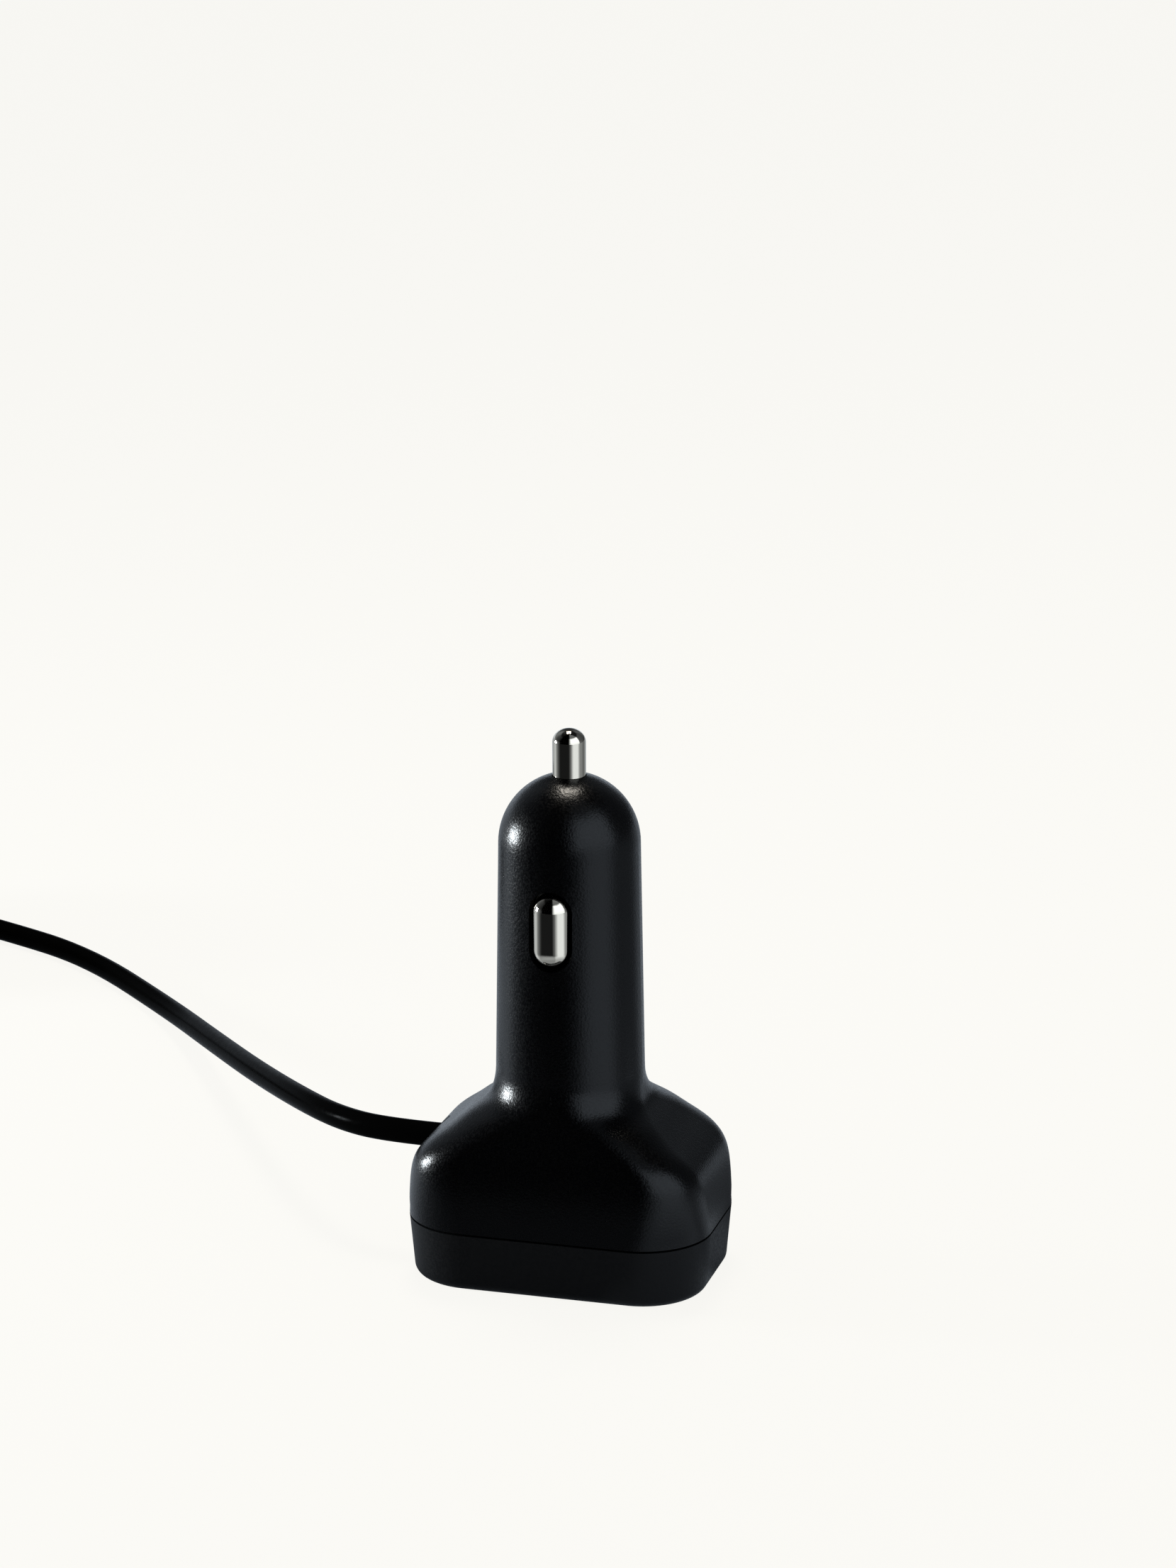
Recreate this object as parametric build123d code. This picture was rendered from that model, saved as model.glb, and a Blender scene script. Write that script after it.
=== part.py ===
from build123d import *
import os
from math import radians, tan

# A car charger plug: a round barrel that flares into an oblong head, two USB sockets in the head's
# end face and a captive cord. The plug stands on its end face with the sprung tip pointing up.
# Millimetres. X runs along the head's width, Y along its depth, and the cord leaves towards -X.

# Barrel and nose
NECK_R = 10.36
NOSE_R = 9.8
NECK_Z = 30.0
NOSE_Z = 61.7
WALL = 1.8

# Head
HEAD_W = 43.2
HEAD_D = 30.0
HEAD_CORNER = 9.8
PART_Z = 8.7
SHOULDER_THICKEN = 1.0
# Sections from the neck down to the parting line: how far down, how much of the head's width,
# depth and corner radius is reached there. The smaller corners half way down are the soft ridges.
FLARE = (
    (0.10, 0.006, 0.04, 1.03),
    (0.21, 0.06, 0.17, 0.93),
    (0.305, 0.265, 0.36, 0.74),
    (0.40, 0.485, 0.55, 0.65),
    (0.49, 0.715, 0.71, 0.66),
    (0.585, 0.872, 0.83, 0.74),
    (0.70, 0.945, 0.92, 0.83),
    (0.82, 0.975, 0.97, 0.90),
    (0.93, 0.991, 0.993, 0.96),
    (1.0, 1.0, 1.0, 1.0),
)
# The barrel runs on this far below the neck, hardly wider, so that the flare leaves it without an edge
NECK_RUN = 0.045
NECK_SWELL = 0.03
ROUNDEST = 0.97
LEAST_CORNER = 0.5
RING_SIDE_DEG = 8.0

# End cap
SEAM_GAP = 0.3
SEAM_DEPTH = 0.9
CAP_INSET = 0.75
CAP_EDGE_R = 1.3
CAP_FLOOR = 1.8
CAP_WALL = 3.4
LIP_H = 2.6
LIP_CLEAR = 0.25
LIP_DRAFT = 0.4

# Centre pin and its spring
PIN_R = 2.3
PIN_TOP_Z = 77.8
PIN_DOME = 1.95
PIN_CLEAR = 0.1
PIN_STOP_Z = 69.4
FLANGE_R = 3.3
FLANGE_T = 1.2
FLANGE_CLEAR = 0.15
TAIL_R = 1.6
TAIL_L = 3.0
SLEEVE_T = 1.2
SLEEVE_Z = 60.0
SPRING_R = 2.6
SPRING_WIRE = 0.6
SPRING_TURNS = 5
SPRING_SIDES = 6
SEAT_R = 3.3
SEAT_T = 0.6
SEAT_TAB_W = 3.0
SEAT_TAB_H = 3.0
SEAT_TAB_T = 0.4

# Side contacts
CONTACT_W = 5.4
CONTACT_L = 10.6
CONTACT_Z = 51.6
CONTACT_REACH = 11.2
CONTACT_CROWN = 2.7
STRIP_T = 0.4
STRIP_W = 4.5
STRIP_CLEAR = 0.15
SLOT_CLEAR = 0.35
FLANGE_MARGIN = 0.5
PLATE_CORNER = 2.1
ROOT_Z = 34.0
ROOT_BEND_R = 0.8
ROOT_GAP = 0.1

# Circuit board
BOARD_T = 1.6
BOARD_TOP_Z = 54.2
BOARD_LOW_Z = 3.0
BOARD_BARREL_W = 10.8
BOARD_EDGE_GAP = 1.9
BOARD_SHOULDER_Z = 16.0
BOARD_NECK_Z = 22.0
BOARD_CLEAR = 0.1
RIB_T = 1.2
RIB_GRIP = 1.0
RIB_TOP_Z = 18.0
POST_W = 1.6
POST_D = 1.2
POST_Y = 7.5

# USB sockets
USB_W = 13.1
USB_H = 5.72
USB_L = 14.0
USB_MOUTH_Z = 0.3
USB_SHEET = 0.3
USB_CORNER = 0.6
USB_WINDOW_CLEAR = 0.2
TONGUE_W = 11.1
TONGUE_T = 1.84
TONGUE_TIP = 1.1
TONGUE_BLOCK_L = 4.4
TONGUE_OFFSET = 0.95
USB_PIN_W = 1.0
USB_PIN_T = 0.2
USB_PIN_L = 6.6
USB_PIN_Y = (-3.5, -1.0, 1.0, 3.5)

# Parts on the board
CHOKE_R = 4.5
CHOKE_H = 6.0
CHOKE_FLANGE_T = 1.0
CHOKE_HUB_R = 2.2
CHOKE_WIRE_INSET = 0.5
CHOKE_Z = 20.2
CAN_R = 3.15
CAN_CRIMP_R = 2.85
INPUT_CAN_L = 11.0
INPUT_CAN_Z = 30.0
OUTPUT_CAN_L = 9.0
OUTPUT_CAN_Z = 27.5
CHIP = (1.5, 3.9, 4.9)
CHIP_Z = 42.0
CHIP_LEADS = 4
CHIP_LEAD = (0.25, 1.0, 0.45)
CHIP_PITCH = 1.27
DIODE = (2.2, 2.6, 4.3)
DIODE_Z = 47.6
FUSE = (0.9, 1.6, 3.2)
FUSE_Z = 45.5
LED = (1.2, 0.8, 1.6)
LED_Z = 5.0
PIPE_R = 1.1
PIPE_FLANGE_R = 1.6
PIPE_FLANGE_T = 0.8
PIPE_X = 2.5
PIPE_WALL_GAP = 0.1
PIPE_CLEAR = 0.05
PIPE_LED_GAP = 0.2

# Cord, its grommet and its inner wires
CORD_D = 3.5
CORD_RISE = 0.4
GROMMET_D = 5.6
GROMMET_FLANGE_D = 7.2
GROMMET_FLANGE_T = 1.2
GROMMET_CLEAR = 0.05
CORD_SEAT_X = -17.6
BOSS_D = 9.0
BOSS_X = -12.0
WIRE_D = 1.2
# The cord leaves this share of the way up from the parting line to the neck
CORD_Z = PART_Z + CORD_RISE * (NECK_Z - PART_Z)

# Coil of the cord's unseen length, and its tie
COIL_X = -166.7
COIL_Y = 103.6
COIL_OUT_R = 24.0
COIL_IN_R = 18.2
COIL_PITCH = 3.7
COIL_LAYERS = 4
COIL_SLACK = 0.15
COIL_CORNER = 1.5
TIE_T = 0.6
TIE_W = 7.0
TIE_CLEAR = 0.5
TIE_CORNER = 1.2
TIE_TURN = 250.0
COIL_TURN_Z = TIE_T + CORD_D / 2

# Plug on the cord's far end
RELIEF_R = 2.3
RELIEF_ROOT_R = 2.6
RELIEF_L = 9.0
RELIEF_SEAT = 2.0
PLUG_L = 20.0
PLUG_W = 12.0
PLUG_H = 6.6
PLUG_R = 2.6
PLUG_EDGE_R = 0.6
TIP_W = 8.3
TIP_H = 2.5
TIP_L = 6.6
TIP_SHEET = 0.3
TIP_SEAT = 1.0
TIP_SLOT_W = 6.6
TIP_SLOT_H = 0.8
TIP_SLOT_L = 5.0

# The lead from the grommet, down to the floor and along it to the coil
LEAD = (
    (CORD_SEAT_X, 0.0, CORD_Z),
    (-27.0, 0.0, CORD_Z),
    (-35.5, 4.0, 16.8),
    (-45.4, 15.0, 15.1),
    (-59.5, 35.0, 11.1),
    (-75.9, 60.0, 6.2),
    (-93.3, 85.6, CORD_D / 2),
    (-117.8, 109.3, CORD_D / 2),
    (-138.8, 120.0, CORD_D / 2),
    (-157.7, 125.4, COIL_TURN_Z),
)
# The free end from the coil's top turn, round its outside to the floor and the far plug
TAIL = (
    (-145.8, 115.7, COIL_TURN_Z + (COIL_LAYERS - 1) * COIL_PITCH),
    (-153.3, 126.8, 13.0),
    (-166.7, 132.4, 10.8),
    (-181.3, 128.9, 7.2),
    (-192.0, 118.2, 4.4),
    (-195.9, 103.6, PLUG_H / 2),
    (-195.9, 90.0, PLUG_H / 2),
)
# Arcs stay this much inside the shorter of the two runs that meet at a point
BEND_SHARE = 0.45

# How far a cut runs past the face that it opens
CUT = 1.0


def oblong(half_w, half_d, corner, z):
    """A rounded rectangle at height z, as four corner arcs and four sides."""
    dx, dy = half_w - corner, half_d - corner
    centres = ((dx, dy), (-dx, dy), (-dx, -dy), (dx, -dy))
    arcs = [CenterArc(c, corner, 90 * k, 90) for k, c in enumerate(centres)]
    sides = [Line(arcs[k] @ 1, arcs[(k + 1) % 4] @ 0) for k in range(4)]
    return Pos(0, 0, z) * make_face(arcs + sides)


def round_section(radius, z):
    """A circle at height z, split as the oblong sections are so that a loft can join them."""
    half = RING_SIDE_DEG / 2
    arcs = [CenterArc((0, 0), radius, 90 * k + half, 90 - 2 * half) for k in range(4)]
    sides = [CenterArc((0, 0), radius, 90 * k - half, 2 * half) for k in range(1, 5)]
    return Pos(0, 0, z) * make_face(arcs + sides)


def head_section(inset, z, width=1.0, depth=1.0, corner=1.0):
    """One section of the head, as shares of the way from the neck to the head's full size."""
    half_w = NECK_R + width * (HEAD_W / 2 - NECK_R)
    half_d = NECK_R + depth * (HEAD_D / 2 - NECK_R)
    radius = min(corner * HEAD_CORNER, ROUNDEST * min(half_w, half_d))
    return oblong(half_w - inset, half_d - inset, max(radius - inset, LEAST_CORNER), z)


def housing_form(inset, drop=0.0):
    """The closed form of barrel, nose and flared head, inset all round, with the flare lowered by drop."""
    neck_z = NECK_Z - drop
    run_z = neck_z - NECK_RUN * (NECK_Z - PART_Z)
    sections = [round_section(NECK_R - inset, neck_z)]
    sections.append(round_section(NECK_R + NECK_SWELL - inset, run_z))
    for down, width, depth, corner in FLARE:
        z = NECK_Z - down * (NECK_Z - PART_Z) - drop
        sections.append(head_section(inset, z, width, depth, corner))
    nose = NOSE_R - inset
    side = Polyline((0, NOSE_Z + nose), (0, neck_z), (NECK_R - inset, neck_z), (nose, NOSE_Z))
    dome = CenterArc((0, NOSE_Z), nose, 0, 90)
    barrel = revolve(Plane.XZ * make_face([side, dome]), Axis.Z)
    return loft(sections) + barrel


def cylinder_z(radius, low, high, x=0.0, y=0.0):
    return Pos(x, y, (low + high) / 2) * Cylinder(radius, high - low)


def cylinder_x(radius, low, high, y=0.0, z=0.0):
    return Pos((low + high) / 2, y, z) * Rot(0, 90, 0) * Cylinder(radius, high - low)


def box(x0, x1, y0, y1, z0, z1):
    return Pos((x0 + x1) / 2, (y0 + y1) / 2, (z0 + z1) / 2) * Box(x1 - x0, y1 - y0, z1 - z0)


def on_face(side, size, z, y=0.0):
    """A block of (height off the board, width, length) seated on the board's +X or -X face."""
    tall, wide, long = size
    return Pos(side * (BOARD_T + tall) / 2, y, z) * Box(tall, wide, long)


def barrel_r(z):
    """The barrel's outside radius at height z."""
    return NECK_R + (NOSE_R - NECK_R) * (z - NECK_Z) / (NOSE_Z - NECK_Z)


# Values that several pieces share
FLANGE_TOP_Z = PIN_STOP_Z - PIN_CLEAR
SEAT_Z = BOARD_TOP_Z + SEAT_T
STRIP_TOP_Z = CONTACT_Z + CONTACT_L / 2 + SLOT_CLEAR + FLANGE_MARGIN
STRIP_PLATE_W = CONTACT_W + 2 * (SLOT_CLEAR + FLANGE_MARGIN)
STRIP_FACE_Y = ((barrel_r(STRIP_TOP_Z) - WALL) ** 2 - (STRIP_PLATE_W / 2) ** 2) ** 0.5 - STRIP_CLEAR
BOARD_HEAD_W = HEAD_D - 2 * (WALL + BOARD_EDGE_GAP)
USB_X = BOARD_T / 2 + USB_H / 2
PIPE_Y = -(HEAD_D / 2 - CAP_WALL - PIPE_FLANGE_R - PIPE_WALL_GAP)
COIL_TOP_Z = TIE_T + CORD_D + (COIL_LAYERS - 1) * COIL_PITCH + COIL_SLACK


def pill_prism(width, length, y0, y1):
    """An upright pill outline in XZ about the contact's centre, run from y0 to y1."""
    pill = Plane.XZ.offset(-y0) * (Pos(0, CONTACT_Z) * Rot(0, 0, 90) * SlotOverall(length, width))
    return extrude(pill, y1 - y0, dir=(0, 1, 0))


def make_housing(outer):
    cavity = housing_form(WALL, SHOULDER_THICKEN)
    shell = outer - cavity
    sleeve_r = FLANGE_R + FLANGE_CLEAR
    sleeve = cylinder_z(sleeve_r + SLEEVE_T, SLEEVE_Z, PIN_STOP_Z) & outer
    rib_y0 = BOARD_HEAD_W / 2 - RIB_GRIP
    rib_y1 = HEAD_D / 2 - WALL / 2
    rib_z0 = PART_Z + LIP_H + LIP_CLEAR
    for sx in (-1, 1):
        for sy in (-1, 1):
            x = sx * (BOARD_T / 2 + BOARD_CLEAR + RIB_T / 2)
            y = sy * (rib_y0 + rib_y1) / 2
            z = (rib_z0 + RIB_TOP_Z) / 2
            shell += Pos(x, y, z) * Box(RIB_T, rib_y1 - rib_y0, RIB_TOP_Z - rib_z0)
    shell += sleeve
    shell += cylinder_x(BOSS_D / 2, -HEAD_W / 2, BOSS_X, z=CORD_Z) & outer
    shell -= cylinder_z(sleeve_r, SLEEVE_Z - CUT, PIN_STOP_Z)
    shell -= cylinder_z(PIN_R + PIN_CLEAR, PIN_STOP_Z - CUT, PIN_TOP_Z)
    shell -= cylinder_x(GROMMET_D / 2 + GROMMET_CLEAR, -HEAD_W / 2 - CUT, BOSS_X + CUT, z=CORD_Z)
    slot = (CONTACT_W + 2 * SLOT_CLEAR, CONTACT_L + 2 * SLOT_CLEAR)
    shell -= pill_prism(*slot, -CONTACT_REACH, -STRIP_FACE_Y + STRIP_T)
    shell -= pill_prism(*slot, STRIP_FACE_Y - STRIP_T, CONTACT_REACH)
    return shell


def make_end_cap():
    rim_z, lip_z = PART_Z - SEAM_GAP, PART_Z + LIP_H
    foot = oblong(HEAD_W / 2 - CAP_INSET, HEAD_D / 2 - CAP_INSET, HEAD_CORNER - CAP_INSET, 0)
    cap = loft([foot, head_section(0, rim_z)], ruled=True)
    cap = fillet(cap.faces().sort_by(Axis.Z)[0].edges(), CAP_EDGE_R)
    # The housing's rim stands on this land, which leaves the seam as a groove outside it
    cap += extrude(head_section(SEAM_DEPTH, rim_z), SEAM_GAP)
    lip = WALL + LIP_CLEAR
    cap += loft([head_section(lip, PART_Z), head_section(lip + LIP_DRAFT, lip_z)], ruled=True)
    cap -= extrude(head_section(CAP_WALL, CAP_FLOOR), lip_z)
    window_x, window_y = USB_H / 2 + USB_WINDOW_CLEAR, USB_W / 2 + USB_WINDOW_CLEAR
    window = box(-window_x, window_x, -window_y, window_y, -CUT, CAP_FLOOR + CUT)
    post = box(-POST_W / 2, POST_W / 2, -POST_D / 2, POST_D / 2, CAP_FLOOR, BOARD_LOW_Z)
    for side in (-1, 1):
        cap -= Pos(side * USB_X, 0, 0) * window
        cap += Pos(0, side * POST_Y, 0) * post
    return cap - cylinder_z(PIPE_R + PIPE_CLEAR, -CUT, CAP_FLOOR + CUT, PIPE_X, PIPE_Y)


def make_centre_pin():
    low = FLANGE_TOP_Z - FLANGE_T
    shoulder = PIN_TOP_Z - PIN_DOME
    side = Polyline(
        (PIN_R, shoulder),
        (PIN_R, FLANGE_TOP_Z),
        (FLANGE_R, FLANGE_TOP_Z),
        (FLANGE_R, low),
        (TAIL_R, low),
        (TAIL_R, low - TAIL_L),
        (0, low - TAIL_L),
        (0, PIN_TOP_Z),
    )
    dome = EllipticalCenterArc((0, shoulder), PIN_R, PIN_DOME, start_angle=0, arc_size=90)
    return revolve(Plane.XZ * make_face([side, dome]), Axis.Z)


def make_tip_spring():
    low, high = SEAT_Z, FLANGE_TOP_Z - FLANGE_T
    rise = high - low - SPRING_WIRE
    coil = Pos(0, 0, low + SPRING_WIRE / 2) * Helix(rise / SPRING_TURNS, rise, SPRING_R)
    wire = Plane(origin=coil @ 0, z_dir=coil % 0) * RegularPolygon(SPRING_WIRE / 2, SPRING_SIDES)
    return sweep(wire, coil, is_frenet=True)


def make_spring_seat():
    seat = cylinder_z(SEAT_R, BOARD_TOP_Z, SEAT_Z)
    for side in (-1, 1):
        tab = (SEAT_TAB_T, SEAT_TAB_W, SEAT_TAB_H)
        seat += on_face(side, tab, BOARD_TOP_Z - SEAT_TAB_H / 2)
        seat += on_face(side, (SEAT_TAB_T, SEAT_TAB_W, SEAT_T), BOARD_TOP_Z + SEAT_T / 2)
    return seat


def bulge(half_w, reach, crown, root_y):
    """The contact's pressed pill: a rounded crown on straight sides, round at both ends, facing -Y."""
    straight = CONTACT_L - CONTACT_W
    side_y = reach - crown
    crest = EllipticalCenterArc((0, side_y), half_w, crown, start_angle=0, arc_size=90)
    half = make_face([crest, Polyline((0, reach), (0, root_y), (half_w, root_y), (half_w, side_y))])
    whole = half + mirror(half, Plane.YZ)
    lying = extrude(Pos(0, 0, -straight / 2) * whole, straight)
    dome = revolve(half, Axis.Y, 180)
    lying += Pos(0, 0, -straight / 2) * dome
    lying += Pos(0, 0, straight / 2) * Rot(0, 180, 0) * dome
    return Pos(0, 0, CONTACT_Z) * Rot(0, 0, 180) * lying


def make_front_contact():
    face, back = -STRIP_FACE_Y, -STRIP_FACE_Y + STRIP_T
    skin = bulge(CONTACT_W / 2, CONTACT_REACH, CONTACT_CROWN, STRIP_FACE_Y - STRIP_T)
    hollow_size = (CONTACT_W - 2 * STRIP_T, CONTACT_L - 2 * STRIP_T)
    hollow = pill_prism(*hollow_size, CONTACT_CROWN - CONTACT_REACH, back)
    plate_low = CONTACT_Z - (STRIP_TOP_Z - CONTACT_Z)
    half = STRIP_PLATE_W / 2
    strip = box(-half, half, face, back, plate_low, STRIP_TOP_Z)
    strip = fillet(strip.edges().filter_by(Axis.Y), PLATE_CORNER)
    half = STRIP_W / 2
    strip += box(-half, half, face, back, ROOT_Z, plate_low + half)
    strip += skin
    bend_y = back + ROOT_BEND_R
    outer_r = ROOT_BEND_R + STRIP_T
    ring = cylinder_x(outer_r, -half, half, bend_y, ROOT_Z)
    ring -= cylinder_x(ROOT_BEND_R, -half, half, bend_y, ROOT_Z)
    strip += ring & box(-half, half, bend_y - outer_r, bend_y, ROOT_Z - outer_r, ROOT_Z)
    foot_y = -BOARD_BARREL_W / 2 - ROOT_GAP
    strip += box(-half, half, bend_y, foot_y, ROOT_Z - outer_r, ROOT_Z - ROOT_BEND_R)
    return strip - hollow


def make_board():
    head, barrel = BOARD_HEAD_W / 2, BOARD_BARREL_W / 2
    edge = [
        (head, BOARD_LOW_Z),
        (head, BOARD_SHOULDER_Z),
        (barrel, BOARD_NECK_Z),
        (barrel, BOARD_TOP_Z),
    ]
    other = [(-y, z) for y, z in reversed(edge)]
    outline = Plane.YZ * make_face(Polyline(*edge, *other, close=True))
    return Pos(-BOARD_T / 2, 0, 0) * extrude(outline, BOARD_T)


def usb_place(side):
    """Where a socket stands beside the board, turned so that its tongue is on the far side."""
    return Pos(side * USB_X, 0, 0) * Rot(0, 0, 90 - 90 * side)


def make_usb_shell(side):
    inner_size = (USB_H - 2 * USB_SHEET, USB_W - 2 * USB_SHEET, USB_CORNER - USB_SHEET)
    wall = RectangleRounded(USB_H, USB_W, USB_CORNER) - RectangleRounded(*inner_size)
    return usb_place(side) * Pos(0, 0, USB_MOUTH_Z) * extrude(wall, USB_L)


def make_usb_tongue(side):
    top = USB_MOUTH_Z + USB_L
    deep, wide = USB_H / 2 - USB_SHEET, USB_W / 2 - USB_SHEET
    block = box(-deep, deep, -wide, wide, top - TONGUE_BLOCK_L, top)
    block = fillet(block.edges().filter_by(Axis.Z), USB_CORNER - USB_SHEET)
    near, half = TONGUE_OFFSET - TONGUE_T / 2, TONGUE_W / 2
    plate = box(near, near + TONGUE_T, -half, half, USB_MOUTH_Z + TONGUE_TIP, top - TONGUE_BLOCK_L)
    return usb_place(side) * (block + plate)


def make_usb_contacts(side):
    top = USB_MOUTH_Z + USB_L - TONGUE_BLOCK_L
    face = TONGUE_OFFSET - TONGUE_T / 2
    pin = box(face - USB_PIN_T, face, -USB_PIN_W / 2, USB_PIN_W / 2, top - USB_PIN_L, top)
    return Compound([usb_place(side) * Pos(0, y, 0) * pin for y in USB_PIN_Y])


def make_choke_core():
    low, high = BOARD_T / 2, BOARD_T / 2 + CHOKE_H
    core = cylinder_x(CHOKE_HUB_R, low, high, z=CHOKE_Z)
    core += cylinder_x(CHOKE_R, low, low + CHOKE_FLANGE_T, z=CHOKE_Z)
    return core + cylinder_x(CHOKE_R, high - CHOKE_FLANGE_T, high, z=CHOKE_Z)


def make_choke_winding():
    low = BOARD_T / 2 + CHOKE_FLANGE_T
    high = BOARD_T / 2 + CHOKE_H - CHOKE_FLANGE_T
    ring = cylinder_x(CHOKE_R - CHOKE_WIRE_INSET, low, high, z=CHOKE_Z)
    return ring - cylinder_x(CHOKE_HUB_R, low, high, z=CHOKE_Z)


def make_can(side, low, length):
    """A round capacitor lying along the board, with the crimp near its lower end."""
    crimp_low, crimp_high = low + CAN_R / 2, low + CAN_R
    side_line = Polyline(
        (0, low),
        (CAN_R, low),
        (CAN_R, crimp_low),
        (CAN_CRIMP_R, (crimp_low + crimp_high) / 2),
        (CAN_R, crimp_high),
        (CAN_R, low + length),
        (0, low + length),
        close=True,
    )
    can = revolve(Plane.XZ * make_face(side_line), Axis.Z)
    return Pos(side * (BOARD_T / 2 + CAN_R), 0, 0) * can


def make_chip():
    tall, wide, long = CHIP
    lead_t, lead_reach, lead_w = CHIP_LEAD
    chip = on_face(-1, CHIP, CHIP_Z)
    for k in range(CHIP_LEADS):
        z = CHIP_Z + (k - (CHIP_LEADS - 1) / 2) * CHIP_PITCH
        chip += on_face(-1, (lead_t, wide + 2 * lead_reach, lead_w), z)
    return chip


def make_light_pipe():
    top = LED_Z - LED[2] / 2 - PIPE_LED_GAP
    rod = cylinder_z(PIPE_R, 0, top, PIPE_X, PIPE_Y)
    return rod + cylinder_z(PIPE_FLANGE_R, CAP_FLOOR, CAP_FLOOR + PIPE_FLANGE_T, PIPE_X, PIPE_Y)


def make_grommet(outer):
    body = cylinder_x(GROMMET_D / 2, -HEAD_W / 2, BOSS_X, z=CORD_Z) & outer
    body += cylinder_x(GROMMET_FLANGE_D / 2, BOSS_X, BOSS_X + GROMMET_FLANGE_T, z=CORD_Z)
    return body - cylinder_x(CORD_D / 2, -HEAD_W / 2 - CUT, CORD_SEAT_X, z=CORD_Z)


def corner_radii(points):
    """The arc radius at each inner point of a route, from its shorter run and its turn."""
    radii = []
    for a, b, c in zip(points, points[1:], points[2:]):
        before, after = Vector(b) - Vector(a), Vector(c) - Vector(b)
        half_turn = radians(before.get_angle(after)) / 2
        radii.append(BEND_SHARE * min(before.length, after.length) / tan(half_turn))
    return radii


def tube(points, diameter):
    """A round tube along straight runs joined by tangent arcs, and the route's length."""
    route = FilletPolyline(*points, radius=corner_radii(points))
    section = Plane(origin=route @ 0, z_dir=route % 0) * Circle(diameter / 2)
    return sweep(section, route), route.length


def make_wire(side):
    return cylinder_x(WIRE_D / 2, BOSS_X + GROMMET_FLANGE_T, -BOARD_T / 2, side * WIRE_D, CORD_Z)


def coil_ring(slack):
    """The round coil's outer form: its turns lie side by side and on each other inside it."""
    half = CORD_D / 2 + slack
    inner, outer = COIL_IN_R - half, COIL_OUT_R + half
    section = chamfer(Rectangle(outer - inner, COIL_TOP_Z - TIE_T).vertices(), COIL_CORNER)
    place = Plane.XZ * Pos((inner + outer) / 2, (COIL_TOP_Z + TIE_T) / 2)
    return Pos(COIL_X, COIL_Y, 0) * revolve(place * section, Axis.Z)


def make_tie():
    half = CORD_D / 2 + COIL_SLACK + TIE_CLEAR
    inner, outer = COIL_IN_R - half, COIL_OUT_R + half
    top = COIL_TOP_Z + TIE_CLEAR
    band = box(inner - TIE_T, outer + TIE_T, -TIE_W / 2, TIE_W / 2, 0, top + TIE_T)
    hole = box(inner, outer, -TIE_W, TIE_W, TIE_T, top)
    band = fillet(band.edges().filter_by(Axis.Y), TIE_CORNER + TIE_T)
    band -= fillet(hole.edges().filter_by(Axis.Y), TIE_CORNER)
    return Pos(COIL_X, COIL_Y, 0) * Rot(0, 0, TIE_TURN) * band


def far_plug_place():
    """Where the cord enters the far plug, with local +X along the cord's last run."""
    return Pos(*TAIL[-1]) * Rot(0, 0, -90)


def make_plug_body():
    relief = loft([Plane.YZ * Circle(RELIEF_R), Plane.YZ.offset(RELIEF_L) * Circle(RELIEF_ROOT_R)])
    body = extrude(Plane.YZ.offset(RELIEF_L) * RectangleRounded(PLUG_W, PLUG_H, PLUG_R), PLUG_L)
    ends = body.faces().sort_by(Axis.X)
    body = fillet(ends[0].edges() + ends[-1].edges(), PLUG_EDGE_R)
    seat = Plane.YZ.offset(RELIEF_L + PLUG_L - TIP_SEAT) * SlotOverall(TIP_W, TIP_H)
    body = relief + body - extrude(seat, TIP_SEAT) - cylinder_x(CORD_D / 2, 0, RELIEF_SEAT)
    return Pos(-RELIEF_SEAT, 0, 0) * body


def make_plug_tip():
    start = RELIEF_L + PLUG_L - TIP_SEAT - RELIEF_SEAT
    skin = extrude(Plane.YZ.offset(start) * SlotOverall(TIP_W, TIP_H), TIP_L + TIP_SEAT)
    inner = SlotOverall(TIP_W - 2 * TIP_SHEET, TIP_H - 2 * TIP_SHEET)
    return skin - extrude(Plane.YZ.offset(start) * inner, TIP_L + TIP_SEAT)


def make_plug_insert():
    start = RELIEF_L + PLUG_L - TIP_SEAT - RELIEF_SEAT
    end = start + TIP_L + TIP_SEAT
    inner = SlotOverall(TIP_W - 2 * TIP_SHEET, TIP_H - 2 * TIP_SHEET)
    core = extrude(Plane.YZ.offset(start) * inner, end - start)
    half_w, half_h = TIP_SLOT_W / 2, TIP_SLOT_H / 2
    return core - box(end - TIP_SLOT_L, end, -half_w, half_w, -half_h, half_h)


outer = housing_form(0)
ring = coil_ring(COIL_SLACK)
lead, lead_length = tube(LEAD, CORD_D)
tail, tail_length = tube(TAIL, CORD_D)
front_contact = make_front_contact()
place = far_plug_place()

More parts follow.
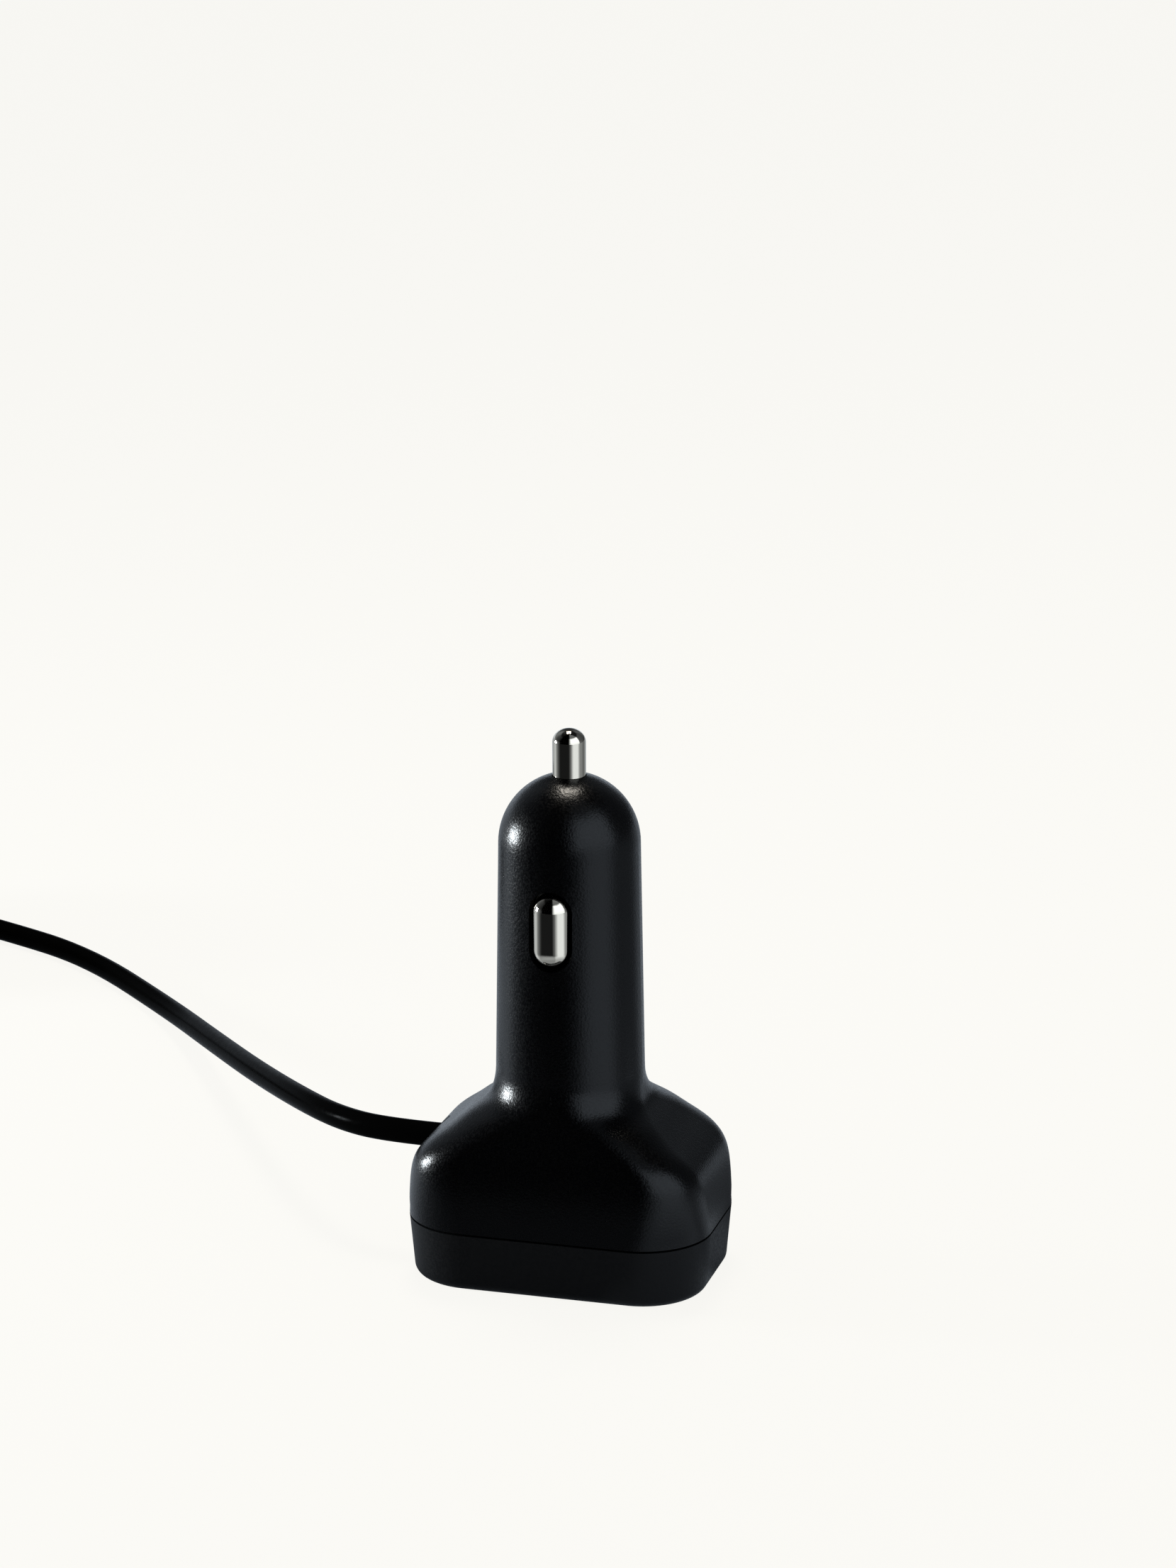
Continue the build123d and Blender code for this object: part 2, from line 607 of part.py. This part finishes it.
nodes = {
    "main_housing": make_housing(outer),
    "end_cap": make_end_cap(),
    "centre_pin": make_centre_pin(),
    "tip_spring": make_tip_spring(),
    "spring_seat": make_spring_seat(),
    "front_contact": front_contact,
    "rear_contact": Rot(0, 0, 180) * front_contact,
    "circuit_board": make_board(),
    "choke_core": make_choke_core(),
    "choke_winding": make_choke_winding(),
    "input_capacitor": make_can(1, INPUT_CAN_Z, INPUT_CAN_L),
    "output_capacitor": make_can(-1, OUTPUT_CAN_Z, OUTPUT_CAN_L),
    "regulator_chip": make_chip(),
    "board_diode": on_face(-1, DIODE, DIODE_Z),
    "board_fuse": on_face(1, FUSE, FUSE_Z),
    "status_led": on_face(1, LED, LED_Z, PIPE_Y),
    "light_pipe": make_light_pipe(),
    "cord_grommet": make_grommet(outer),
    "cord_wire_plus": make_wire(1),
    "cord_wire_minus": make_wire(-1),
    "cord_lead": lead - ring,
    "cord_coil": ring,
    "cord_tail": tail - ring,
    "cord_tie": make_tie(),
    "far_plug_body": place * make_plug_body(),
    "far_plug_tip": place * make_plug_tip(),
    "far_plug_insert": place * make_plug_insert(),
}
for name, side in (("left", -1), ("right", 1)):
    nodes[f"usb_shell_{name}"] = make_usb_shell(side)
    nodes[f"usb_tongue_{name}"] = make_usb_tongue(side)
    nodes[f"usb_contacts_{name}"] = make_usb_contacts(side)

os.makedirs("parts", exist_ok=True)
for name, shape in nodes.items():
    export_step(shape, f"parts/{name}.step")

print("lead radii", [round(r, 1) for r in corner_radii(LEAD)])
print("tail radii", [round(r, 1) for r in corner_radii(TAIL)])
print("lead length", round(lead_length, 1), "tail length", round(tail_length, 1))
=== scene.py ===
"""Looks of a car charger plug with its captive cord, standing on its end face on a pale studio floor."""

import math

import bmesh
import bpy
from mathutils import Matrix, Vector


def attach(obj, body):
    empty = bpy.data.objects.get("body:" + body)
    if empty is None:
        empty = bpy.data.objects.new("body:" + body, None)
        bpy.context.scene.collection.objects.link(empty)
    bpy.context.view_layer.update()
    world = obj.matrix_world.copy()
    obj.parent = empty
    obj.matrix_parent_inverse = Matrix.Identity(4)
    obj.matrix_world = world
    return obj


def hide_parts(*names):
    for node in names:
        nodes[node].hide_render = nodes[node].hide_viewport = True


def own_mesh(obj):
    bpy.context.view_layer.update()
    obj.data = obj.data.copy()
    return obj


bpy.context.scene.view_settings.view_transform = "Standard"
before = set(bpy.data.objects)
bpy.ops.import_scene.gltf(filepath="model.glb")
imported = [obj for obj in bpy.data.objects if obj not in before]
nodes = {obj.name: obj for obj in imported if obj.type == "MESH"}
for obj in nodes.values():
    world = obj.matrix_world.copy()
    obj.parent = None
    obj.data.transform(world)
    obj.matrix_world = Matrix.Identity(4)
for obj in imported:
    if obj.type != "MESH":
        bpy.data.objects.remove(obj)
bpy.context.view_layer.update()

MM = 0.001
# Most of a noise's values lie between these
GRAIN_LOW, GRAIN_HIGH = 0.38, 0.62
TONE_STOPS = (0.35, 0.65)


def colour(code):
    """Linear RGBA of an sRGB hex code."""
    parts = [int(code[k : k + 2], 16) / 255 for k in (1, 3, 5)]
    linear = [c / 12.92 if c <= 0.04045 else ((c + 0.055) / 1.055) ** 2.4 for c in parts]
    return (*linear, 1.0)


def add(tree, kind, inputs=None, **settings):
    """Adds a shader node: settings go on the node, inputs are socket values or sockets to link from."""
    node = tree.nodes.new(kind)
    for name, value in settings.items():
        setattr(node, name, value)
    for key, value in (inputs or {}).items():
        if isinstance(value, bpy.types.NodeSocket):
            tree.links.new(value, node.inputs[key])
        else:
            node.inputs[key].default_value = value
    return node


def new_material(name, code, **sockets):
    """A material with one Principled shader, its colour and the named sockets set."""
    material = bpy.data.materials.new(name)
    material.use_nodes = True
    shader = material.node_tree.nodes["Principled BSDF"]
    shader.inputs["Base Color"].default_value = colour(code)
    for key, value in sockets.items():
        shader.inputs[key.replace("_", " ")].default_value = value
    return material, material.node_tree, shader


def dress(material, slot, *names):
    """Puts the material on CAD nodes. Its slot, the slot that the material belongs to, is not used."""
    for name in names:
        mesh = nodes[name].data
        mesh.materials.clear()
        mesh.materials.append(material)


def grained(tree, shader, size, depth, smooth, rough, along_z=1.0):
    """Relief of one size and depth in metres, and a roughness between two values that goes with it.

    Below 1, along_z draws the grain out along Z.
    """
    place = add(tree, "ShaderNodeTexCoord").outputs["Object"]
    drawn = add(tree, "ShaderNodeMapping", {"Vector": place, "Scale": (1.0, 1.0, along_z)})
    grain = add(tree, "ShaderNodeTexNoise", {"Vector": drawn.outputs[0], "Scale": 1 / size, "Detail": 2.0})
    bump = add(tree, "ShaderNodeBump", {"Height": grain.outputs["Fac"], "Strength": 1.0, "Distance": depth})
    tree.links.new(bump.outputs["Normal"], shader.inputs["Normal"])
    spread = {"Value": grain.outputs["Fac"], "From Min": GRAIN_LOW, "From Max": GRAIN_HIGH}
    spread = add(tree, "ShaderNodeMapRange", {**spread, "To Min": smooth, "To Max": rough})
    tree.links.new(spread.outputs[0], shader.inputs["Roughness"])
    return grain.outputs["Fac"]


def two_tone(tree, shader, share, dark, light):
    """Lets the colour wander between two codes with a pattern's share."""
    tones = add(tree, "ShaderNodeValToRGB", {"Fac": share})
    for stop, place, code in zip(tones.color_ramp.elements, TONE_STOPS, (dark, light)):
        stop.position = place
        stop.color = colour(code)
    tree.links.new(tones.outputs["Color"], shader.inputs["Base Color"])


# Moulded ABS, spark-eroded tool: near black, satin, and grainy where it catches a light. The grain is drawn
# coarser than the real one, so that it shows
housing_abs, tree, shader = new_material("moulded_abs_satin", "#020203", IOR=1.5, Specular_IOR_Level=0.22)
grained(tree, shader, size=0.3 * MM, depth=0.035 * MM, smooth=0.2, rough=0.305)

# The same ABS from a coarser tool: the end cap is flatter and a little greyer
cap_abs, tree, shader = new_material("moulded_abs_matt", "#090A0C", IOR=1.5, Specular_IOR_Level=0.12)
grain = grained(tree, shader, size=0.36 * MM, depth=0.01 * MM, smooth=0.42, rough=0.54)
two_tone(tree, shader, grain, "#08090B", "#0A0B0D")

# Bright nickel on turned and pressed brass: a warm mirror with a faint haze from handling
nickel, tree, shader = new_material("bright_nickel_plate", "#DAD1C1", Metallic=1.0)
grained(tree, shader, size=1.5 * MM, depth=0.001 * MM, smooth=0.04, rough=0.06)

# Drawn spring steel: grey, with fine lines from the die
spring_steel, tree, shader = new_material("drawn_spring_steel", "#A8A8A8", Metallic=1.0)
grained(tree, shader, size=0.2 * MM, depth=0.002 * MM, smooth=0.22, rough=0.38, along_z=0.2)

# Plated socket sheet: pale, with rolling lines along the socket's depth
socket_steel, tree, shader = new_material("plated_socket_sheet", "#C2C2C0", Metallic=1.0)
grained(tree, shader, size=0.15 * MM, depth=0.002 * MM, smooth=0.18, rough=0.32, along_z=0.05)

# Gold flash on contact strip: warm, with faint rubbing lines along the stroke
gold, tree, shader = new_material("gold_flashed_contact", "#E3B65C", Metallic=1.0)
grained(tree, shader, size=0.12 * MM, depth=0.001 * MM, smooth=0.16, rough=0.28, along_z=0.08)

# Extruded PVC: smooth deep black that only shows light at its edges, and a faint orange peel from the die
cord_pvc, tree, shader = new_material("extruded_pvc_jacket", "#030303", IOR=1.53, Specular_IOR_Level=0.0025)
grained(tree, shader, size=0.6 * MM, depth=0.002 * MM, smooth=0.18, rough=0.28)

# Soft PVC moulded over the cord's ends: dull black with a fine sparked grain
soft_pvc, tree, shader = new_material("moulded_soft_pvc", "#050505", IOR=1.53, Specular_IOR_Level=0.1)
grained(tree, shader, size=0.3 * MM, depth=0.02 * MM, smooth=0.42, rough=0.58)

# Thin PVC on a core: red, with the same die's orange peel
wire_pvc, tree, shader = new_material("red_wire_pvc", "#8A1512", IOR=1.53)
grained(tree, shader, size=0.3 * MM, depth=0.003 * MM, smooth=0.34, rough=0.46)

# Woven nylon strap: matt threads over and under, drawn wider than real threads so that the weave shows
THREAD, THREAD_RELIEF = 0.73 * MM, 0.08 * MM
THREAD_ROUGH, GAP_ROUGH = 0.75, 0.92
strap, tree, shader = new_material("woven_nylon_strap", "#0C0C0D", IOR=1.53, Specular_IOR_Level=0.15)
place = add(tree, "ShaderNodeTexCoord").outputs["Object"]
weave = {"Vector": place, "Color1": colour("#121213"), "Color2": colour("#070708"), "Scale": 1 / THREAD}
weave = add(tree, "ShaderNodeTexChecker", weave)
tree.links.new(weave.outputs["Color"], shader.inputs["Base Color"])
relief = {"Height": weave.outputs["Fac"], "Strength": 1.0, "Distance": THREAD_RELIEF}
bump = add(tree, "ShaderNodeBump", relief)
tree.links.new(bump.outputs["Normal"], shader.inputs["Normal"])
nap = {"Value": weave.outputs["Fac"], "To Min": THREAD_ROUGH, "To Max": GAP_ROUGH}
nap = add(tree, "ShaderNodeMapRange", nap)
tree.links.new(nap.outputs[0], shader.inputs["Roughness"])

# Solder mask over glass laminate: green, and paler where the weave lies close under it
laminate, tree, shader = new_material("green_solder_mask", "#0E4A26", IOR=1.55)
grain = grained(tree, shader, size=0.5 * MM, depth=0.004 * MM, smooth=0.34, rough=0.46)
two_tone(tree, shader, grain, "#0C4422", "#11522B")

# Sintered ferrite: dark grey, chalky and speckled
ferrite, tree, shader = new_material("sintered_ferrite", "#2A2A2C", IOR=1.5)
grain = grained(tree, shader, size=0.25 * MM, depth=0.02 * MM, smooth=0.6, rough=0.8)
two_tone(tree, shader, grain, "#262628", "#303033")

# Enamelled copper wire: orange under a clear skin, with darker streaks along Z laid at random as painted
# shade between the strands
copper, tree, shader = new_material("enamelled_copper", "#B8652F", Metallic=1.0)
grain = grained(tree, shader, size=0.4 * MM, depth=0.03 * MM, smooth=0.24, rough=0.36, along_z=0.15)
two_tone(tree, shader, grain, "#A3551F", "#C0703A")

# Shrink sleeve on a capacitor's can: dark blue gloss, a little slack
sleeve, tree, shader = new_material("shrink_sleeve", "#10101C", IOR=1.54)
grained(tree, shader, size=1.2 * MM, depth=0.02 * MM, smooth=0.24, rough=0.34)

# Moulded chip epoxy: flat black with a sanded look
epoxy, tree, shader = new_material("chip_epoxy", "#111111", IOR=1.5)
grained(tree, shader, size=0.12 * MM, depth=0.01 * MM, smooth=0.55, rough=0.68)

# Glazed ceramic: ivory gloss with slow waves in the glaze
ceramic, tree, shader = new_material("glazed_ceramic", "#DCD8CC", IOR=1.5)
grained(tree, shader, size=0.8 * MM, depth=0.004 * MM, smooth=0.2, rough=0.3)

# Clear acrylic light pipe: polished, with the faintest moulding haze
clear, tree, shader = new_material("clear_acrylic", "#E6E9EC", IOR=1.49, Transmission_Weight=1.0)
grained(tree, shader, size=0.8 * MM, depth=0.002 * MM, smooth=0.06, rough=0.14)

# White socket nylon: matt off-white
tongue, tree, shader = new_material("white_socket_nylon", "#E0DFDA", IOR=1.53)
grained(tree, shader, size=0.3 * MM, depth=0.01 * MM, smooth=0.44, rough=0.56)

dress(housing_abs, "housing_plastic", "main_housing")
dress(cap_abs, "cap_plastic", "end_cap")
dress(nickel, "nickel_plate", "centre_pin", "front_contact", "rear_contact")
dress(spring_steel, "spring_steel", "spring_seat")
dress(socket_steel, "socket_steel", "usb_shell_left", "usb_shell_right", "far_plug_tip")
dress(tongue, "tongue_plastic", "usb_tongue_left", "usb_tongue_right")
dress(gold, "gold_plate", "usb_contacts_left", "usb_contacts_right")
dress(laminate, "board_laminate", "circuit_board")
dress(ferrite, "ferrite", "choke_core")
dress(copper, "copper_wire", "choke_winding")
dress(sleeve, "can_sleeve", "input_capacitor", "output_capacitor")
dress(epoxy, "chip_epoxy", "regulator_chip", "board_diode")
dress(ceramic, "ceramic", "board_fuse", "status_led")
dress(clear, "clear_plastic", "light_pipe")
dress(soft_pvc, "soft_black", "cord_grommet", "far_plug_body")
dress(soft_pvc, "chip_epoxy", "far_plug_insert", "cord_wire_minus")
dress(wire_pvc, "wire_red", "cord_wire_plus")
dress(strap, "tie_strap", "cord_tie")

# The tip's spring: round wire between its seat and the tip's flange
SPRING_R, SPRING_WIRE_R = 2.6 * MM, 0.3 * MM
SPRING_TURNS, STEPS_PER_TURN, WIRE_SIDES = 5, 32, 10
heights = [vertex.co.z for vertex in nodes["tip_spring"].data.vertices]
spring_low, spring_high = min(heights), max(heights)
spring_steps = SPRING_TURNS * STEPS_PER_TURN
climb = spring_high - spring_low - 2 * SPRING_WIRE_R
start = Matrix.Translation((SPRING_R, 0.0, spring_low + SPRING_WIRE_R)) @ Matrix.Rotation(math.pi / 2, 4, "X")
bm = bmesh.new()
bmesh.ops.create_circle(bm, cap_ends=True, segments=WIRE_SIDES, radius=SPRING_WIRE_R, matrix=start)
bmesh.ops.spin(
    bm,
    geom=[*bm.verts, *bm.edges, *bm.faces],
    cent=(0.0, 0.0, 0.0),
    axis=(0.0, 0.0, 1.0),
    dvec=(0.0, 0.0, climb / spring_steps),
    angle=SPRING_TURNS * math.tau,
    steps=spring_steps,
)
bmesh.ops.recalc_face_normals(bm, faces=bm.faces[:])
for face in bm.faces:
    face.smooth = len(face.verts) == 4
spring_mesh = bpy.data.meshes.new("round_wire_spring")
bm.to_mesh(spring_mesh)
bm.free()
spring_mesh.materials.append(spring_steel)
spring = bpy.data.objects.new("round_wire_spring", spring_mesh)
bpy.context.collection.objects.link(spring)
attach(spring, "plug")
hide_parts("tip_spring")
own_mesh(spring)

# The cord: out of the shoulder, down to the floor, into a tied coil and on to the far plug
CORD_D = 3.5 * MM
CORD_STEPS, CORD_ROUNDNESS = 8, 6
LEAD = (
    (-0.0176, 0.0, 0.01722),
    (-0.0270, 0.0, 0.01722),
    (-0.0355, 0.0040, 0.0168),
    (-0.0454, 0.0150, 0.0151),
    (-0.0595, 0.0350, 0.0111),
    (-0.0759, 0.0600, 0.0062),
    (-0.0933, 0.0856, 0.00175),
    (-0.1178, 0.1093, 0.00175),
    (-0.1388, 0.1200, 0.00175),
)
TAIL = (
    (-0.1458, 0.1157, 0.01345),
    (-0.1533, 0.1268, 0.0130),
    (-0.1667, 0.1324, 0.0108),
    (-0.1813, 0.1289, 0.0072),
    (-0.1920, 0.1182, 0.0044),
    (-0.1959, 0.1036, 0.0033),
    (-0.1959, 0.0900, 0.0033),
)
COIL_CENTRE = Vector((-0.1667, 0.1036))
COIL_OUT_R, COIL_IN_R = 24.0 * MM, 18.2 * MM
COIL_LOW_Z, COIL_PITCH = 2.35 * MM, 3.7 * MM
COIL_START_DEG = 68.0
LAYERS = 4
LAYER_TURNS, RISE_TURNS = 1.5735, 0.2
POINTS_PER_TURN = 16
# A quadratic spline cuts inside its points, so they stand this much further out
SPLINE_SPREAD = 1.016


def coil_point(turn):
    """A point on the coil: each layer spirals in or out, and a short rise leads to the next."""
    layer = min(int(turn / (LAYER_TURNS + RISE_TURNS)), LAYERS - 1)
    along = turn - layer * (LAYER_TURNS + RISE_TURNS)
    share = min(along / LAYER_TURNS, 1.0)
    rise = max(along - LAYER_TURNS, 0.0) / RISE_TURNS
    inward = share if layer % 2 == 0 else 1.0 - share
    radius = (COIL_OUT_R + (COIL_IN_R - COIL_OUT_R) * inward) * SPLINE_SPREAD
    angle = math.radians(COIL_START_DEG) + turn * math.tau
    x = COIL_CENTRE.x + radius * math.cos(angle)
    y = COIL_CENTRE.y + radius * math.sin(angle)
    return (x, y, COIL_LOW_Z + (layer + rise) * COIL_PITCH)


turns = LAYERS * LAYER_TURNS + (LAYERS - 1) * RISE_TURNS
count = round(turns * POINTS_PER_TURN)
coil = [coil_point(k * turns / count) for k in range(count)]
route = [*LEAD, *coil, *TAIL]

curve = bpy.data.curves.new("cord", "CURVE")
curve.dimensions = "3D"
spline = curve.splines.new("NURBS")
spline.points.add(len(route) - 1)
for point, where in zip(spline.points, route):
    point.co = (*where, 1.0)
spline.order_u = 3
spline.use_endpoint_u = True
spline.resolution_u = CORD_STEPS
curve.bevel_depth = CORD_D / 2
curve.bevel_resolution = CORD_ROUNDNESS
curve.use_fill_caps = True
curve.materials.append(cord_pvc)
cord = bpy.data.objects.new("cord", curve)
bpy.context.collection.objects.link(cord)
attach(cord, "plug")
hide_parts("cord_lead", "cord_coil", "cord_tail")

# The studio: a pale round room that exists only as a painted reflection, dark behind the camera and bright
# towards a painted panel on the right
PAPER = "#FAF9F5"
PALE = colour(PAPER)
# Degrees round the plug, 0 in front and 90 on the right, and how bright the painted reflection of each reads
# there in a gloss: the walls, their foot, the floor, and the floor close to the plug
WALLS = (
    (-90, 0.08),
    (-60, 0.03),
    (-50, 0.0),
    (14, 0.0),
    (20, 0.6),
    (30, 1.9),
    (90, 1.9),
    (97, 0.12),
    (150, 0.08),
    (163, 0.16),
    (190, 0.05),
    (212, 0.05),
    (228, 0.25),
    (244, 0.25),
    (269, 0.08),
)
WALL_FOOT = (
    (-90, 0.4),
    (-60, 0.1),
    (-46, 0.0),
    (14, 0.0),
    (20, 0.6),
    (30, 1.7),
    (88, 1.7),
    (98, 0.2),
    (145, 0.05),
    (172, 0.1),
    (186, 1.1),
    (232, 0.9),
    (250, 0.5),
    (269, 0.4),
)
FLOOR = (
    (-90, 0.9),
    (-84, 0.55),
    (-76, 0.32),
    (-66, 0.16),
    (-54, 0.04),
    (-46, 0.015),
    (14, 0.015),
    (19, 0.08),
    (27, 0.2),
    (36, 0.65),
    (46, 1.3),
    (78, 1.3),
    (88, 0.6),
    (98, 0.36),
    (115, 0.33),
    (125, 0.2),
    (138, 0.22),
    (152, 0.42),
    (165, 0.48),
    (200, 0.6),
    (228, 0.55),
    (250, 0.65),
    (269, 0.9),
)
NEAR_FLOOR = (
    (-90, 1.0),
    (-60, 0.4),
    (-40, 0.2),
    (20, 0.2),
    (28, 0.8),
    (36, 1.15),
    (88, 1.1),
    (98, 0.4),
    (110, 0.7),
    (126, 0.7),
    (134, 0.15),
    (154, 0.15),
    (166, 0.6),
    (185, 1.2),
    (205, 1.2),
    (225, 0.8),
    (269, 1.0),
)
# Colour of the painted reflection of the room, on the floor and in the world
PAINTED_REFLECTION_TINT = "#E6F2FF"


def painted_room_ring(tree, way, levels):
    """The brightness of the painted reflection that part of the room shows in a gloss, from the direction of
    a vector round Z.
    """
    round_z = add(tree, "ShaderNodeTexGradient", {"Vector": way}, gradient_type="RADIAL")
    ramp = add(tree, "ShaderNodeValToRGB", {"Fac": round_z.outputs["Fac"]})
    stops = ramp.color_ramp.elements
    while len(stops) < len(levels):
        stops.new(1.0)
    for stop, (degrees, level) in zip(stops, levels):
        stop.position = (degrees + 90) / 360
        stop.color = (level, level, level, 1.0)
    return ramp.outputs["Color"]


# Floor paper: pale to the camera with a faint shadow, and in a gloss a painted glow of the same room, though
# the paper is no lamp
FLOOR_R, FLOOR_SIDES = 6.0, 96
bm = bmesh.new()
bmesh.ops.create_circle(bm, cap_ends=True, segments=FLOOR_SIDES, radius=FLOOR_R)
floor_mesh = bpy.data.meshes.new("floor")
bm.to_mesh(floor_mesh)
bm.free()
floor = bpy.data.objects.new("floor", floor_mesh)
bpy.context.collection.objects.link(floor)
paper, tree, shader = new_material("matt_floor_paper", PAPER, Roughness=1.0, Specular_IOR_Level=0.0)
SHADOW_SHARE = 0.045
NEAR_R, FAR_R = 62 * MM, 95 * MM
# A painted shadow: close to the plug the paper's glow in a gloss is dimmed
SHADE_R, CLEAR_R, SHADE = 38 * MM, 75 * MM, 0.5
STEEP, SLANTED, STEEP_LEVEL = 0.25, 0.55, 0.75
rays = add(tree, "ShaderNodeLightPath")
place = add(tree, "ShaderNodeTexCoord").outputs["Object"]
reach = add(tree, "ShaderNodeVectorMath", {0: place}, operation="LENGTH").outputs["Value"]
away = add(tree, "ShaderNodeMapRange", {"Value": reach, "From Min": NEAR_R, "From Max": FAR_R})
near, far = painted_room_ring(tree, place, NEAR_FLOOR), painted_room_ring(tree, place, FLOOR)
ring = add(tree, "ShaderNodeMix", {"Factor": away.outputs[0], "A": near, "B": far})
# Painted reflection: seen straight down in a gloss, as from under a contact, the paper glows brighter than at
# a low angle
slant = add(tree, "ShaderNodeLayerWeight", {"Blend": 0.5}).outputs["Facing"]
steep = {"Value": slant, "From Min": STEEP, "From Max": SLANTED, "To Min": STEEP_LEVEL, "To Max": 0.0}
steep = add(tree, "ShaderNodeMapRange", steep)
open_level = add(tree, "ShaderNodeMath", {0: ring.outputs[0], 1: steep.outputs[0]}, operation="MAXIMUM")
# Painted shadow: from SHADE_R to CLEAR_R round the plug the glow in a gloss falls to SHADE
shade = {"Value": reach, "From Min": SHADE_R, "From Max": CLEAR_R, "To Min": SHADE}
shade = add(tree, "ShaderNodeMapRange", shade)
level = add(tree, "ShaderNodeMath", {0: open_level.outputs[0], 1: shade.outputs[0]}, operation="MULTIPLY")
# In a gloss the paper glows with the painted room: painted pools of light, dimmed by a painted shadow near
# the plug
gloss = add(tree, "ShaderNodeEmission", {"Color": colour(PAINTED_REFLECTION_TINT), "Strength": level.outputs[0]})
glow = add(tree, "ShaderNodeEmission", {"Color": PALE, "Strength": 1.0})
lit = add(tree, "ShaderNodeMixShader", {0: SHADOW_SHARE, 1: glow.outputs[0], 2: shader.outputs[0]})
bounce = {0: rays.outputs["Is Glossy Ray"], 1: shader.outputs[0], 2: gloss.outputs[0]}
bounce = add(tree, "ShaderNodeMixShader", bounce)
straight = {0: rays.outputs["Is Camera Ray"], 1: rays.outputs["Is Transmission Ray"]}
seen = add(tree, "ShaderNodeMath", straight, operation="MAXIMUM")
final = add(tree, "ShaderNodeMixShader", {0: seen.outputs[0], 1: bounce.outputs[0], 2: lit.outputs[0]})
tree.links.new(final.outputs[0], tree.nodes["Material Output"].inputs["Surface"])
floor_mesh.materials.append(paper)

# World: pale paper to the camera, a painted reflection of the room up to the panel's top edge in a gloss, and
# a plain even fill
FOOT_DEG, WALL_DEG, TOP_DEG, OVER_DEG = 6.0, 16.0, 46.0, 55.0
FILL, OVER_LEVEL = 0.5, 0.12
world = bpy.data.worlds.new("studio")
bpy.context.scene.world = world
world.use_nodes = True
tree = world.node_tree
tree.nodes.clear()
rays = add(tree, "ShaderNodeLightPath")
way = add(tree, "ShaderNodeTexCoord").outputs["Generated"]
height = add(tree, "ShaderNodeSeparateXYZ", {0: way}).outputs["Z"]
foot, wall, top, over = (math.sin(math.radians(d)) for d in (FOOT_DEG, WALL_DEG, TOP_DEG, OVER_DEG))
rise = add(tree, "ShaderNodeMapRange", {"Value": height, "From Min": foot, "From Max": wall})
below = {"Value": height, "From Min": top, "From Max": over, "To Min": 1.0, "To Max": OVER_LEVEL}
below = add(tree, "ShaderNodeMapRange", below)
low, high = painted_room_ring(tree, way, WALL_FOOT), painted_room_ring(tree, way, WALLS)
ring = add(tree, "ShaderNodeMix", {"Factor": rise.outputs[0], "A": low, "B": high})
level = add(tree, "ShaderNodeMath", {0: below.outputs[0], 1: ring.outputs[0]}, operation="MULTIPLY")
# Only glossy rays see this painted reflection of the room; diffuse rays see the plain fill
gloss = add(tree, "ShaderNodeBackground", {"Color": colour(PAINTED_REFLECTION_TINT), "Strength": level.outputs[0]})
fill = add(tree, "ShaderNodeBackground", {"Color": colour("#FFFFFF"), "Strength": FILL})
pale = add(tree, "ShaderNodeBackground", {"Color": PALE, "Strength": 1.0})
bounce = {0: rays.outputs["Is Glossy Ray"], 1: fill.outputs[0], 2: gloss.outputs[0]}
bounce = add(tree, "ShaderNodeMixShader", bounce)
straight = {0: rays.outputs["Is Camera Ray"], 1: rays.outputs["Is Transmission Ray"]}
seen = add(tree, "ShaderNodeMath", straight, operation="MAXIMUM")
final = add(tree, "ShaderNodeMixShader", {0: seen.outputs[0], 1: bounce.outputs[0], 2: pale.outputs[0]})
add(tree, "ShaderNodeOutputWorld", {"Surface": final.outputs[0]})

# Two softboxes make the small lights on the left edges and on the nose
MIDDLE = Vector((0.0, 0.0, 0.045))


def softbox(name, azimuth, elevation, distance, width, height, radiance, code):
    """An area lamp that faces the plug, by degrees round it and above it.

    Its size and distance are in metres, and its watts are 4 x area x radiance.
    """
    lamp = bpy.data.lights.new(name, "AREA")
    lamp.shape = "RECTANGLE"
    lamp.size, lamp.size_y = width, height
    lamp.energy = 4 * width * height * radiance
    lamp.color = colour(code)[:3]
    box = bpy.data.objects.new(name, lamp)
    around, above = math.radians(azimuth), math.radians(elevation)
    flat = math.cos(above)
    towards = Vector((math.sin(around) * flat, -math.cos(around) * flat, math.sin(above)))
    box.location = MIDDLE + towards * distance
    box.rotation_euler = towards.to_track_quat("Z", "Y").to_euler()
    box.visible_camera = False
    bpy.context.collection.objects.link(box)


softbox("left_softbox", -88, 4.5, 0.45, 0.09, 0.085, 86.0, "#F4FBFF")
softbox("overhead_softbox", 199, 72, 0.6, 0.16, 0.18, 22.0, "#FFF8EC")

# Camera at the photo's angle: a long lens, a little above the plug and to its right
LENS, SENSOR = 97.85, 36.0
AIM = Vector((0.00036, 0.00806, 0.06781))
STAND = Vector((0.15650, -0.53921, 0.22381))
ROLL_DEG = -0.191
camera_data = bpy.data.cameras.new("camera")
camera_data.lens = LENS
camera_data.sensor_width = SENSOR
camera_data.clip_start = 0.01
camera = bpy.data.objects.new("camera", camera_data)
camera.location = STAND
camera.rotation_euler = (AIM - STAND).to_track_quat("-Z", "Y").to_euler()
camera.rotation_euler.rotate_axis("Z", math.radians(ROLL_DEG))
bpy.context.collection.objects.link(camera)
bpy.context.scene.camera = camera
